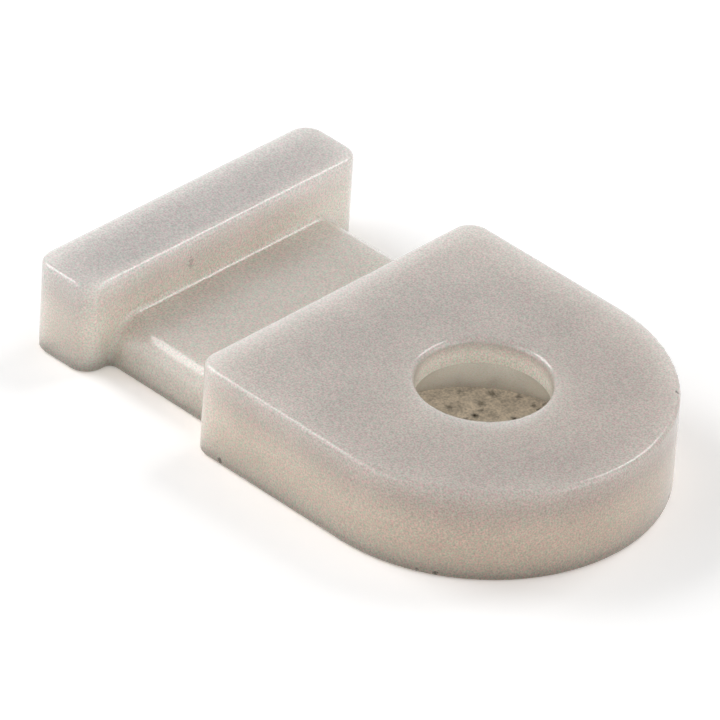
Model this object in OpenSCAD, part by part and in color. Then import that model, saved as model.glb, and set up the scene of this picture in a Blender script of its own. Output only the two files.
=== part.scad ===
// Screw-on cable tie mount, moulded in one piece from natural nylon.
//
// A D-shaped pad with a countersunk screw hole and a cross bar at the other end are
// joined by a narrower, thinner neck.  The upper faces of pad and bar are level and seat
// on the panel.  The tie lies in the channel between them, turns round the neck's rounded
// long edges, and comes back past the neck's recessed sides.
//
// Frame: +X from the bar to the round end, +Z up, the origin in the middle of the
// overall length on the flat outer face.

/* [Pad] */
// Width across the pad, whose round end is half this wide in radius
pad_w = 12.7; // [11.5:0.1:16]
// Overall height, from the flat outer face to the seating face
mount_h = 3.4; // [3.1:0.1:6]
// Material left between the countersink's mouth and the tie channel
sink_wall = 2.4; // [1:0.1:6]
// Radius of the pad's two square corners, seen from above
pad_corner_r = 0.75; // [0.5:0.05:1]

/* [Screw] */
// Thread diameter of the screw
screw_d = 4.2; // [3.5:0.1:4.8]
// Total clearance of the screw in its hole
screw_play = 0.3; // [0.1:0.05:0.6]
// Diameter of the flat screw head
head_d = 8.4; // [7:0.1:9]
// Total clearance of the head in the countersink's mouth
head_play = 0.4; // [0:0.1:0.6]
// Included angle of the countersink
sink_angle = 82; // [82, 90, 100]
// Radius on the hole's rim at the seating face
rim_r = 0.2; // [0.05:0.05:0.3]

/* [Tie channel] */
// Width of the cable tie
tie_w = 4.8; // [3.6:0.1:7.8]
// Total side clearance of the tie in its channel
tie_play = 0.2; // [0.1:0.1:0.8]
// Thickness of the cable tie
tie_t = 1.3; // [1:0.05:1.6]
// Clearance between the tie and the panel
tie_cover = 0.4; // [0.1:0.05:0.5]
// Depth by which the neck's sides stand back from the pad's sides
side_recess = 1.2; // [1.1:0.05:2.5]

/* [Neck] */
// Radius of the neck's two long edges, which the tie bends round
neck_edge_r = 1.1; // [0.3:0.05:1.2]
// Radius of the inside corners where the neck meets the bar and the pad
root_r = 0.25; // [0.1:0.05:0.35]

/* [Cross bar] */
// Thickness of the bar along the mount
bar_t = 2.65; // [2.2:0.05:5]
// Distance by which each end of the bar stands back from the pad's side
bar_inset = 0.05; // [0:0.05:0.1]
// Radius of the bar's four upright corners, seen from above
bar_corner_r = 0.75; // [0.5:0.05:1]

/* [Edges] */
// Radius along the upper edges of pad and bar
edge_r = 0.2; // [0.1:0.05:0.35]
// Radius along the lower edges
foot_r = 0.1; // [0.05:0.05:0.15]

/* [Hidden] */
$fn = 64;

// Screw hole and countersink
bore_d = screw_d + screw_play;
sink_d = head_d + head_play;
sink_depth = (sink_d - bore_d) / 2 / tan(sink_angle / 2);

// Channel and neck
channel_w = tie_w + tie_play;
channel_depth = tie_t + tie_cover;
neck_t = mount_h - channel_depth;
neck_w = pad_w - 2 * side_recess;
neck_r = min(neck_edge_r, neck_t - foot_r);

// Bar
bar_w = pad_w - 2 * bar_inset;

// Places along X
pad_end_r = pad_w / 2;
pad_straight = sink_d / 2 + sink_wall;
mount_l = bar_t + channel_w + pad_straight + pad_end_r;
bar_back_x = -mount_l / 2;
bar_face_x = bar_back_x + bar_t;
pad_face_x = bar_face_x + channel_w;
hole_x = pad_face_x + pad_straight;

// Small overlaps that make joined solids run into each other
bite = 0.1;

// Quarter disc that rounds a corner whose two sides run along +X and +Y.
module quarter(r) {
    intersection() {
        circle(r = r);
        square([r, r]);
    }
}

// Cross-section w wide and h high on the X axis, with round upper and lower corners.
module section(w, h, top_r, low_r) {
    for (side = [0, 1]) mirror([side, 0]) {
        translate([0, low_r]) square([w / 2, h - top_r - low_r]);
        translate([0, h - top_r]) square([w / 2 - top_r, top_r]);
        square([w / 2 - low_r, low_r]);
        translate([w / 2 - top_r, h - top_r]) quarter(top_r);
        translate([w / 2 - low_r, low_r]) mirror([0, 1]) quarter(low_r);
    }
}

// The same section run along X from x0 to x1.
module run_x(x0, x1, w, h, top_r, low_r) {
    translate([x0, 0, 0]) rotate([90, 0, 90])
        linear_extrude(height = x1 - x0) section(w, h, top_r, low_r);
}

// The same section run along Y over a length, centred on x.
module run_y(x, length, w, h, top_r, low_r) {
    translate([x, length / 2, 0]) rotate([90, 0, 0])
        linear_extrude(height = length) section(w, h, top_r, low_r);
}

// Upright round post that carries the section's edges round a corner.
module post(r, h, top_r, low_r) {
    rotate_extrude() intersection() {
        section(2 * r, h, top_r, low_r);
        square([r, h]);
    }
}

// Two-dimensional inside fillet between the X axis and the Y axis.
module cove(r) {
    difference() {
        translate([-bite, -bite]) square([r + bite, r + bite]);
        translate([r, r]) circle(r = r);
    }
}

// Upright inside fillet of height h, whose foot carries the lower edge radius round the corner.
module upright_cove(h) {
    difference() {
        translate([-bite, -bite, 0]) cube([root_r + bite, root_r + bite, h]);
        translate([root_r, root_r, -bite]) cylinder(r = root_r, h = h + 2 * bite);
        translate([root_r, root_r, 0]) rotate_extrude() difference() {
            square([root_r + foot_r, foot_r]);
            translate([root_r + foot_r, foot_r]) circle(r = foot_r);
        }
    }
}

// Inside fillet along the neck's outline, against a face at x = 0 that looks along +X.
module root() {
    flat = neck_w - 2 * neck_r;
    translate([0, flat / 2, neck_t]) rotate([90, 0, 0])
        linear_extrude(height = flat) cove(root_r);
    for (side = [0, 1]) mirror([0, side, 0]) {
        translate([0, neck_w / 2, 0]) upright_cove(neck_t - neck_r);
        translate([0, neck_w / 2 - neck_r, neck_t - neck_r]) rotate([90, 0, 90])
            rotate_extrude(angle = 90) translate([neck_r, 0]) cove(root_r);
    }
}

// Pad with its round end on the screw's axis.
module pad() {
    corner_y = pad_w / 2 - pad_corner_r;
    run_x(pad_face_x + pad_corner_r, hole_x, pad_w, mount_h, edge_r, foot_r);
    run_y(pad_face_x + pad_corner_r, 2 * corner_y, 2 * pad_corner_r, mount_h, edge_r, foot_r);
    for (side = [-1, 1]) translate([pad_face_x + pad_corner_r, side * corner_y, 0])
        post(pad_corner_r, mount_h, edge_r, foot_r);
    translate([hole_x, 0, 0]) post(pad_end_r, mount_h, edge_r, foot_r);
}

// Bar across the end of the neck.
module bar() {
    mid_x = bar_back_x + bar_t / 2;
    corner_x = bar_t / 2 - bar_corner_r;
    corner_y = bar_w / 2 - bar_corner_r;
    run_x(mid_x - corner_x, mid_x + corner_x, bar_w, mount_h, edge_r, foot_r);
    run_y(mid_x, 2 * corner_y, bar_t, mount_h, edge_r, foot_r);
    for (end = [-1, 1], side = [-1, 1]) translate([mid_x + end * corner_x, side * corner_y, 0])
        post(bar_corner_r, mount_h, edge_r, foot_r);
}

// Neck from inside the bar to inside the pad, with its fillets at both ends.
module neck() {
    run_x(bar_face_x - bar_t / 2, pad_face_x + pad_corner_r, neck_w, neck_t, neck_r, foot_r);
    translate([bar_face_x, 0, 0]) root();
    translate([pad_face_x, 0, 0]) mirror([1, 0, 0]) root();
}

// Everything cut for the screw: bore, countersink and the rounded rim.
module screw_cut() {
    translate([hole_x, 0, 0]) {
        translate([0, 0, -bite]) cylinder(d = bore_d, h = mount_h + 2 * bite);
        cylinder(d1 = sink_d, d2 = bore_d, h = sink_depth);
        translate([0, 0, -bite]) cylinder(d = sink_d, h = bite);
        translate([0, 0, mount_h - rim_r]) rotate_extrude() difference() {
            translate([bore_d / 2 - bite, 0]) square([rim_r + bite, rim_r + bite]);
            translate([bore_d / 2 + rim_r, 0]) circle(r = rim_r);
        }
    }
}

module mount_body() {
    color([0.80, 0.77, 0.73]) difference() {
        union() {
            pad();
            bar();
            neck();
        }
        screw_cut();
    }
}

mount_body();
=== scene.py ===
import math
import bpy
from mathutils import Matrix, Vector

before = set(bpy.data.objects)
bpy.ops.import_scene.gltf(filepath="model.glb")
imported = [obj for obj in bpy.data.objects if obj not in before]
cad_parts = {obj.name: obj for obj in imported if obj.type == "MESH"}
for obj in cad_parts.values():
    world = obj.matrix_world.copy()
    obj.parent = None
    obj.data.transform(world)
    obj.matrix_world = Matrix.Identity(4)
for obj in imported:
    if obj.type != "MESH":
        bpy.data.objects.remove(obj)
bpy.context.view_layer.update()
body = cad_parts["mount_body"]
mm = 0.001
print("stage 1: frame loaded")


view = {
    "aim": (-0.95, 0.0, 2.0),      # point that the view turns about, mm
    "bearing": -47.16,             # degrees from +X, towards the lens
    "height": 34.69,               # degrees above the floor
    "roll": 3.86,
    "distance": 291.6,             # mm
    "slide": (-0.377, -0.420),     # sideways and upwards from the aim, mm
    "lens": 448.4,                 # mm, as the sensor
    "sensor": 36.0,
}


def direction(bearing, height):
    a, e = math.radians(bearing), math.radians(height)
    return Vector((math.cos(a) * math.cos(e), math.sin(a) * math.cos(e), math.sin(e)))


def makeCamera(v):
    back = direction(v["bearing"], v["height"])
    right = Vector((0.0, 0.0, 1.0)).cross(back).normalized()
    up = back.cross(right)
    r = math.radians(v["roll"])
    right, up = right * math.cos(r) + up * math.sin(r), up * math.cos(r) - right * math.sin(r)
    data = bpy.data.cameras.new("camera")
    data.lens, data.sensor_width = v["lens"], v["sensor"]
    data.clip_start, data.clip_end = 0.01, 10.0
    cam = bpy.data.objects.new("camera", data)
    place = Vector(v["aim"]) + right * v["slide"][0] + up * v["slide"][1] + back * v["distance"]
    cam.matrix_world = Matrix.Translation(place * mm) @ Matrix((right, up, back)).transposed().to_4x4()
    bpy.context.scene.collection.objects.link(cam)
    bpy.context.scene.camera = cam


makeCamera(view)
print("stage 2: camera placed")


def newMaterial(name):
    mat = bpy.data.materials.new(name)
    mat.use_nodes = True
    return mat, mat.node_tree, mat.node_tree.nodes["Principled BSDF"]


def newGroup(name, inputs, outputs):
    group = bpy.data.node_groups.new(name, "ShaderNodeTree")
    for label, kind, value in inputs:
        socket = group.interface.new_socket(label, in_out="INPUT", socket_type=kind)
        socket.default_value = value
    for label, kind in outputs:
        group.interface.new_socket(label, in_out="OUTPUT", socket_type=kind)
    return group, group.nodes.new("NodeGroupInput"), group.nodes.new("NodeGroupOutput")


def put(tree, kind, values=(), **settings):
    # adds a node, sets its properties, and fills or links its inputs by name or number
    node = tree.nodes.new(kind)
    for key, value in settings.items():
        setattr(node, key, value)
    for key, value in dict(values).items():
        if isinstance(value, bpy.types.NodeSocket):
            tree.links.new(value, node.inputs[key])
        else:
            node.inputs[key].default_value = value
    return node


def mathNode(tree, operation, *values):
    return put(tree, "ShaderNodeMath", enumerate(values), operation=operation).outputs[0]


def vectorNode(tree, operation, *values):
    return put(tree, "ShaderNodeVectorMath", enumerate(values), operation=operation)


def blendColour(tree, factor, low, high, mode="MIX"):
    # the colour sockets of a Mix node are its seventh and eighth
    node = put(tree, "ShaderNodeMix", {0: factor, 6: low, 7: high}, data_type="RGBA", blend_type=mode)
    return node.outputs[2]


def rangeNode(tree, value, low, high, start=0.0, end=1.0, **settings):
    # carries a value from low..high to start..end
    sockets = {"Value": value, "From Min": low, "From Max": high, "To Min": start, "To Max": end}
    return put(tree, "ShaderNodeMapRange", sockets, **settings).outputs[0]


def rampNode(tree, value, stops):
    # the colours of a list of (place in mm, colour), blended along a place in metres
    low, high = stops[0][0], stops[-1][0]
    ramp = put(tree, "ShaderNodeValToRGB", {0: rangeNode(tree, value, low * mm, high * mm)})
    for place, colour in stops[1:-1]:
        ramp.color_ramp.elements.new((place - low) / (high - low))
    for element, (place, colour) in zip(ramp.color_ramp.elements, stops):
        element.color = (*colour, 1)
    return ramp.outputs["Color"]


def greyNode(tree, level):
    return put(tree, "ShaderNodeCombineColor", {0: level, 1: level, 2: level}).outputs[0]


def makeGrainGroup():
    # cloudy flow of the melt, and the fine grain of the surface
    group, given, made = newGroup(
        "mouldedGrain",
        [("Vector", "NodeSocketVector", (0, 0, 0)), ("Cloud Size", "NodeSocketFloat", 2 * mm),
         ("Grain Size", "NodeSocketFloat", 0.1 * mm)],
        [("Cloud", "NodeSocketFloat"), ("Grain", "NodeSocketFloat"), ("Tint", "NodeSocketFloat")])
    for label, size, detail in (("Cloud", "Cloud Size", 2.0), ("Grain", "Grain Size", 1.0)):
        scaled = vectorNode(group, "SCALE", given.outputs["Vector"])
        group.links.new(mathNode(group, "DIVIDE", 1.0, given.outputs[size]), scaled.inputs["Scale"])
        noise = put(group, "ShaderNodeTexNoise",
                    {"Vector": scaled.outputs[0], "Scale": 1.0, "Detail": detail})
        group.links.new(noise.outputs["Fac"], made.inputs[label])
        if label == "Grain":
            parts = put(group, "ShaderNodeSeparateColor", {0: noise.outputs["Color"]})
            group.links.new(parts.outputs[2], made.inputs["Tint"])
    return group


def makeSpeckGroup():
    # one ragged spot of dirt around a place
    group, given, made = newGroup(
        "dirtSpeck",
        [("Vector", "NodeSocketVector", (0, 0, 0)), ("Place", "NodeSocketVector", (0, 0, 0)),
         ("Stretch", "NodeSocketVector", (1, 1, 1)), ("Size", "NodeSocketFloat", 0.1 * mm),
         ("Noise", "NodeSocketFloat", 0.5), ("Ragged", "NodeSocketFloat", 0.5),
         ("Softness", "NodeSocketFloat", 0.3)],
        [("Mask", "NodeSocketFloat")])
    away = vectorNode(group, "SUBTRACT", given.outputs["Vector"], given.outputs["Place"])
    away = vectorNode(group, "MULTIPLY", away.outputs[0], given.outputs["Stretch"])
    away = vectorNode(group, "SCALE", away.outputs[0])
    group.links.new(mathNode(group, "DIVIDE", 1.0, given.outputs["Size"]), away.inputs["Scale"])
    reach = vectorNode(group, "LENGTH", away.outputs[0]).outputs["Value"]
    wander = 4.0    # how far full raggedness moves the edge, in sizes of the spot
    shift = mathNode(group, "MULTIPLY", mathNode(group, "SUBTRACT", given.outputs["Noise"], 0.5),
                     mathNode(group, "MULTIPLY", given.outputs["Ragged"], wander))
    soft = given.outputs["Softness"]
    mask = rangeNode(group, mathNode(group, "ADD", reach, shift), mathNode(group, "SUBTRACT", 1.0, soft),
                     mathNode(group, "ADD", 1.0, soft), 1.0, 0.0, interpolation_type="SMOOTHSTEP")
    group.links.new(mask, made.inputs["Mask"])
    return group


grainGroup = makeGrainGroup()
speckGroup = makeSpeckGroup()


def speckMask(tree, coords, noise, specks, ragged, softness):
    # the darkest of all the specks in a list of (place, size, stretch, strength), in mm
    total = 0.0
    for place, size, stretch, strength in specks:
        node = put(tree, "ShaderNodeGroup", node_tree=speckGroup)
        tree.links.new(coords, node.inputs["Vector"])
        tree.links.new(noise, node.inputs["Noise"])
        node.inputs["Place"].default_value = Vector(place) * mm
        node.inputs["Stretch"].default_value = stretch
        node.inputs["Size"].default_value = size * mm
        node.inputs["Ragged"].default_value = ragged
        node.inputs["Softness"].default_value = softness
        mask = mathNode(tree, "MULTIPLY", node.outputs["Mask"], strength)
        total = mathNode(tree, "MAXIMUM", total, mask)
    return total


nylon = {
    "colours": [                            # height in mm and colour, from the outer face up; painted light and shade: the top painted darker and cooler, the lower walls paler and warmer, in place of how light falls on and passes through the nylon
        (0.0, (0.88, 0.725, 0.57)),
        (0.9, (0.74, 0.62, 0.50)),
        (1.7, (0.67, 0.575, 0.48)),
        (2.6, (0.495, 0.432, 0.38)),
        (3.4, (0.46, 0.412, 0.37)),
    ],
    "paintedLightAlongLength": [                       # X in mm and tint, from the bar to the round end; painted light and shade: the bar's inner face lit up, with a painted highlight along its top edge, and the bar's outer part and the round end shaded darker
        (-10.4, (0.82, 0.85, 0.91)),
        (-8.2, (0.95, 0.98, 1.04)),
        (-7.8, (1.26, 1.28, 1.32)),
        (-7.2, (1.05, 1.06, 1.08)),
        (9.0, (0.87, 0.84, 0.84)),
    ],
    "borePaintedGlow": (0.82, 0.745, 0.65),      # painted glow: the thin wall round the screw hole painted paler for light that passes through the nylon
    "sinkPaintedGlow": (1.0, 0.95, 0.81),        # and the countersink with it
    "hole": {                               # mm
        "x": 4.05,
        "boreRadius": 2.25,
        "sinkRadius": 4.40,
        "sinkDepth": 2.473,
        "sinkBlend": 0.15,                  # half the height over which one colour runs into the other
        "wallFade": (0.05, 0.20),           # how deep in the wall the hole's painted glow ends
        "rimFade": (2.8, 3.2),              # heights over which it ends below the seating face
    },
    "cloudSize": 2.4, "cloudAmount": 0.06,  # mm
    "grainSize": 0.06, "grainAmount": 0.20, # mm
    "tintAmount": 0.16,                     # how far single grains lean to red or green
    "noiseSpan": (0.3, 0.7),                # the part of the noise's range that is used
    "tintSpan": (0.35, 0.65),               # the same for the tint
    "roughness": 0.40, "roughnessSpread": 0.10,
    "gloss": 0.9, "glossRoughness": 0.11,   # moulded skin
    "bumpHeight": 0.006,                    # mm
    "bumpStrength": 0.6,
    "ior": 1.53,
    "scatterDepth": 8.0,                    # mm
    "scatterColour": (1.0, 1.0, 1.0),       # how far red, green and blue travel
    "dirtColour": (0.035, 0.03, 0.022),
    "dirtRagged": 0.5, "dirtSoftness": 0.35,
    "dirtRoughness": 0.4,                   # added to the nylon's
    "dirt": [                               # place, size, stretch, strength
        ((-1.377, -6.35, 0.16), 0.10, (1, 1, 1), 0.95),
        ((6.93, -5.75, 0.10), 0.09, (1, 1, 1), 0.8),
        ((7.45, -5.40, 0.08), 0.10, (1, 1, 1), 0.8),
        ((9.499, 3.256, 0.186), 0.10, (1, 1, 1), 0.95),
        ((8.60, 4.22, 3.36), 0.07, (1, 1, 1), 0.8),
        ((-7.75, -1.627, 2.49), 0.10, (1, 1, 0.45), 0.30),
    ],
}


def paintedHoleGlowMask(tree, coords, height, hole):
    # where the hole's painted glow goes: 1 on the bore and the countersink, 0 just outside them
    bore, sink, depth = (hole[k] * mm for k in ("boreRadius", "sinkRadius", "sinkDepth"))
    away = vectorNode(tree, "SUBTRACT", coords, (hole["x"] * mm, 0, 0)).outputs[0]
    away = vectorNode(tree, "MULTIPLY", away, (1, 1, 0)).outputs[0]
    radius = vectorNode(tree, "LENGTH", away).outputs["Value"]
    cone = mathNode(tree, "SUBTRACT", sink, mathNode(tree, "MULTIPLY", height, (sink - bore) / depth))
    past = mathNode(tree, "SUBTRACT", radius, mathNode(tree, "MAXIMUM", cone, bore))
    near, far = (value * mm for value in hole["wallFade"])
    low, high = (value * mm for value in hole["rimFade"])
    return mathNode(tree, "MULTIPLY", rangeNode(tree, past, near, far, 1.0, 0.0),
                    rangeNode(tree, height, low, high, 1.0, 0.0))


def makeNylon(v):
    mat, tree, shader = newMaterial("naturalNylon")
    coords = put(tree, "ShaderNodeTexCoord").outputs["Object"]
    along, height = (put(tree, "ShaderNodeSeparateXYZ", {0: coords}).outputs[k] for k in "XZ")
    grain = put(tree, "ShaderNodeGroup", node_tree=grainGroup)
    tree.links.new(coords, grain.inputs["Vector"])
    grain.inputs["Cloud Size"].default_value = v["cloudSize"] * mm
    grain.inputs["Grain Size"].default_value = v["grainSize"] * mm
    cloud, fine, tint = (grain.outputs[k] for k in ("Cloud", "Grain", "Tint"))

    # painted light and shade up the height and along the length, multiplied together
    paintedHeightShade, paintedLengthLight = rampNode(tree, height, v["colours"]), rampNode(tree, along, v["paintedLightAlongLength"])
    colour = blendColour(tree, 1.0, paintedHeightShade, paintedLengthLight, "MULTIPLY")
    # painted glow on the bore and the countersink, for light passing through the nylon
    depth, blend = v["hole"]["sinkDepth"], v["hole"]["sinkBlend"]
    above = rangeNode(tree, height, (depth - blend) * mm, (depth + blend) * mm)
    paintedHoleGlow = blendColour(tree, above, (*v["sinkPaintedGlow"], 1), (*v["borePaintedGlow"], 1))
    colour = blendColour(tree, paintedHoleGlowMask(tree, coords, height, v["hole"]), colour, paintedHoleGlow)
    for value, amount in ((cloud, v["cloudAmount"]), (fine, v["grainAmount"])):
        level = rangeNode(tree, value, *v["noiseSpan"], 1 - amount, 1 + amount, clamp=False)
        colour = blendColour(tree, 1.0, colour, greyNode(tree, level), "MULTIPLY")
    t = v["tintAmount"]
    lean = rangeNode(tree, tint, *v["tintSpan"])
    hue = blendColour(tree, lean, (1 + t, 1 - t * 0.5, 1.0, 1), (1 - t, 1 + t * 0.5, 1.0, 1))
    colour = blendColour(tree, 1.0, colour, hue, "MULTIPLY")
    dirt = speckMask(tree, coords, fine, v["dirt"], v["dirtRagged"], v["dirtSoftness"])
    colour = blendColour(tree, dirt, colour, (*v["dirtColour"], 1))
    tree.links.new(colour, shader.inputs["Base Color"])

    half = v["roughnessSpread"] / 2
    rough = rangeNode(tree, cloud, *v["noiseSpan"], v["roughness"] - half, v["roughness"] + half)
    rough = mathNode(tree, "ADD", rough, mathNode(tree, "MULTIPLY", dirt, v["dirtRoughness"]))
    tree.links.new(rough, shader.inputs["Roughness"])

    bump = put(tree, "ShaderNodeBump", {"Height": fine, "Distance": v["bumpHeight"] * mm,
                                        "Strength": v["bumpStrength"]})
    tree.links.new(bump.outputs["Normal"], shader.inputs["Normal"])
    shader.inputs["IOR"].default_value = v["ior"]
    shader.inputs["Coat Weight"].default_value = v["gloss"]
    shader.inputs["Coat Roughness"].default_value = v["glossRoughness"]
    shader.inputs["Subsurface Weight"].default_value = 1.0
    shader.inputs["Subsurface Radius"].default_value = v["scatterColour"]
    shader.inputs["Subsurface Scale"].default_value = v["scatterDepth"] * mm
    return mat


body.data.materials.clear()
body.data.materials.append(makeNylon(nylon))
print("stage 3: nylon made")


studio = {
    "floorSize": 1.2,               # m
    "floorDrop": 0.03,              # mm, so that light passes between floor and mount
    "floorColour": (1.0, 1.0, 1.0),
    "floorBounce": (0.93, 0.86, 0.76),      # tint of the light that the floor sends back up
    "floorGlow": 0.18,              # what the camera sees over the floor's own light
    "floorRoughness": 0.9,
    # a darker, mottled tan patch of floor under the screw hole
    "holePatchColour": (0.61, 0.54, 0.455),
    "holePatchPlace": (4.05, 0.0, 0.0),  # mm, under the screw hole
    "holePatchSize": 4.7, "holePatchSoftness": 0.03,
    "holePatchCloudSize": 0.5, "holePatchGrainSize": 0.09,
    "holePatchGrain": 0.40, "holePatchSpan": (0.6, 1.4),
    "holePatchPaintedGlow": 0.23,               # painted glow: emission on the patch stands in for light that the nylon lets through onto it
    "crumbColour": (0.02, 0.018, 0.013),
    "crumbRagged": 0.25, "crumbSoftness": 0.9,
    "crumbs": [                     # place, size, stretch, strength, as on the mount
        ((2.027, 1.955, 0), 0.10, (1, 1, 1), 1.0),
        ((1.954, 1.609, 0), 0.07, (1, 1, 1), 0.7),
        ((1.677, 2.592, 0), 0.12, (1, 1, 1), 0.55),
        ((1.956, 2.308, 0), 0.08, (1, 1, 1), 0.6),
        ((1.513, 3.275, 0), 0.13, (1, 1, 1), 0.6),
        ((2.209, 3.829, 0), 0.10, (1, 1, 1), 0.6),
        ((2.886, 3.836, 0), 0.09, (1, 1, 1), 0.7),
        ((3.151, 3.797, 0), 0.08, (1, 1, 1), 0.9),
        ((3.081, 4.152, 0), 0.08, (1, 1, 1), 0.6),
        ((2.975, 2.806, 0), 0.09, (1, 1, 1), 0.9),
        ((1.136, 1.696, 0), 0.08, (1, 1, 1), 0.5),
        ((0.688, 2.571, 0), 0.10, (1, 1, 1), 0.4),
    ],
    "skyColour": (1.0, 1.0, 1.0),
    "skyStrength": 0.28,
    "boxes": {                      # bearing and height in degrees, power in W, size in m
        "backRight": (85, 50, 0.22, 0.12),
        "backLeft": (-160, 40, 0.38, 0.15),
        "left": (-115, 25, 0.23, 0.25),
        "right": (15, 25, 0.26, 0.25),
    },
    "boxDistance": 0.3,             # m
}


def seenDirectly(tree):
    # 1 for the camera's own rays and for those that reach a surface by gloss or through glass
    path = put(tree, "ShaderNodeLightPath").outputs
    return mathNode(tree, "MAXIMUM", path["Is Camera Ray"],
                    mathNode(tree, "MAXIMUM", path["Is Glossy Ray"], path["Is Transmission Ray"]))


def makeFloor(v):
    half = v["floorSize"] / 2
    mesh = bpy.data.meshes.new("floor")
    z = -v["floorDrop"] * mm
    corners = [(x * half, y * half, z) for x, y in ((-1, -1), (1, -1), (1, 1), (-1, 1))]
    mesh.from_pydata(corners, [], [(0, 1, 2, 3)])
    floor = bpy.data.objects.new("floor", mesh)
    bpy.context.scene.collection.objects.link(floor)
    mat, tree, shader = newMaterial("whiteFloor")
    coords = put(tree, "ShaderNodeTexCoord").outputs["Object"]
    sizes = {"Cloud Size": v["holePatchCloudSize"] * mm, "Grain Size": v["holePatchGrainSize"] * mm}
    grain = put(tree, "ShaderNodeGroup", node_tree=grainGroup)
    tree.links.new(coords, grain.inputs["Vector"])
    for label, size in sizes.items():
        grain.inputs[label].default_value = size
    noise = grain.outputs["Grain"]
    # a darker, mottled tan patch of floor under the screw hole
    patch = [(v["holePatchPlace"], v["holePatchSize"], (1, 1, 1), 1.0)]
    holePatch = speckMask(tree, coords, noise, patch, 0.0, v["holePatchSoftness"])
    crumbs = speckMask(tree, coords, noise, v["crumbs"], v["crumbRagged"], v["crumbSoftness"])
    seen = seenDirectly(tree)
    colour = blendColour(tree, seen, (*v["floorBounce"], 1), (*v["floorColour"], 1))
    mottle = mathNode(tree, "ADD", grain.outputs["Grain"], grain.outputs["Cloud"])
    level = rangeNode(tree, mottle, *v["holePatchSpan"], 1 - v["holePatchGrain"], 1 + v["holePatchGrain"])
    sheet = blendColour(tree, 1.0, greyNode(tree, level), (*v["holePatchColour"], 1), "MULTIPLY")
    colour = blendColour(tree, holePatch, colour, sheet)
    colour = blendColour(tree, crumbs, colour, (*v["crumbColour"], 1))
    tree.links.new(colour, shader.inputs["Base Color"])
    shader.inputs["Roughness"].default_value = v["floorRoughness"]
    shader.inputs["Specular IOR Level"].default_value = 0.0
    # emission: the floor's own glow for rays seen directly, and a painted glow on the patch under the
    # hole
    tint = blendColour(tree, holePatch, (1, 1, 1, 1), sheet)
    bright = mathNode(tree, "MULTIPLY", seen, v["floorGlow"])
    glow = put(tree, "ShaderNodeMix", {0: holePatch, 2: bright, 3: v["holePatchPaintedGlow"]})
    clean = mathNode(tree, "SUBTRACT", 1.0, crumbs)
    tree.links.new(tint, shader.inputs["Emission Color"])
    tree.links.new(mathNode(tree, "MULTIPLY", glow.outputs[0], clean), shader.inputs["Emission Strength"])
    mesh.materials.append(mat)
    return floor


def makeSky(v):
    world = bpy.data.worlds.new("sky")
    world.use_nodes = True
    bpy.context.scene.world = world
    tree = world.node_tree
    ground = tree.nodes["Background"]
    ground.inputs["Color"].default_value = (*v["skyColour"], 1)
    strength = rangeNode(tree, seenDirectly(tree), 0.0, 1.0, v["skyStrength"])
    tree.links.new(strength, ground.inputs["Strength"])


def makeSoftbox(name, bearing, height, power, size, distance):
    data = bpy.data.lights.new(name, "AREA")
    data.shape, data.size, data.energy = "SQUARE", size, power
    lamp = bpy.data.objects.new(name, data)
    bpy.context.scene.collection.objects.link(lamp)
    away = direction(bearing, height)
    turn = away.to_track_quat("Z", "Y").to_matrix().to_4x4()
    lamp.matrix_world = Matrix.Translation(away * distance) @ turn


makeFloor(studio)
makeSky(studio)
for name, box in studio["boxes"].items():
    makeSoftbox(name, *box, studio["boxDistance"])
bpy.context.scene.view_settings.view_transform = "Standard"
print("stage 4: floor and light")
